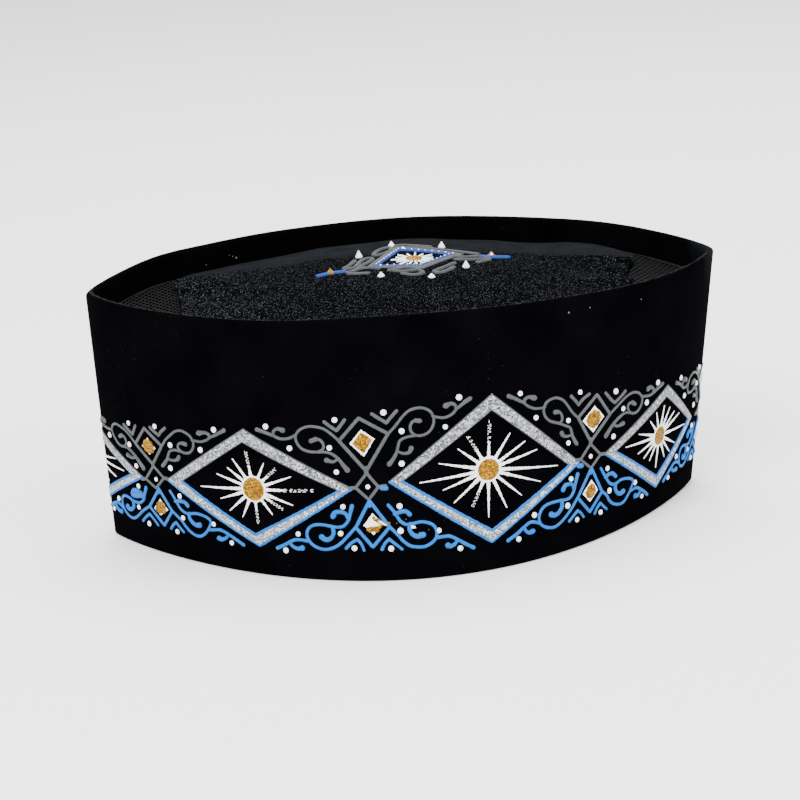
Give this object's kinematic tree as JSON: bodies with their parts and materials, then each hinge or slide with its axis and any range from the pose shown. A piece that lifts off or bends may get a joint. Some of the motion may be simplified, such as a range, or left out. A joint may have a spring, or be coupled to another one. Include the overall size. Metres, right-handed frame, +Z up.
{
  "type": "songkok",
  "caption": "Stiff oval velvet cap with an open bottom, a sunken domed crown and net pieces at its pointed ends.",
  "frame": {"origin": "on the surface that the cap stands on, under the middle of the cap's overall box", "axes": "+Z up, +X along the cap's length towards its right end as the front is seen, -Y towards the viewer of the picture"},
  "size_m": [0.2288, 0.1706, 0.0957],
  "materials": {
    "wall_velvet": "matte black velvet",
    "crown_velvet": "matte black velvet with a fine sparkle",
    "net": "open black net"
  },
  "bodies": {
    "root": {"side_wall": "wall_velvet", "crown_panel": "crown_velvet", "net_left": "net", "net_right": "net"}
  },
  "joints": []
}
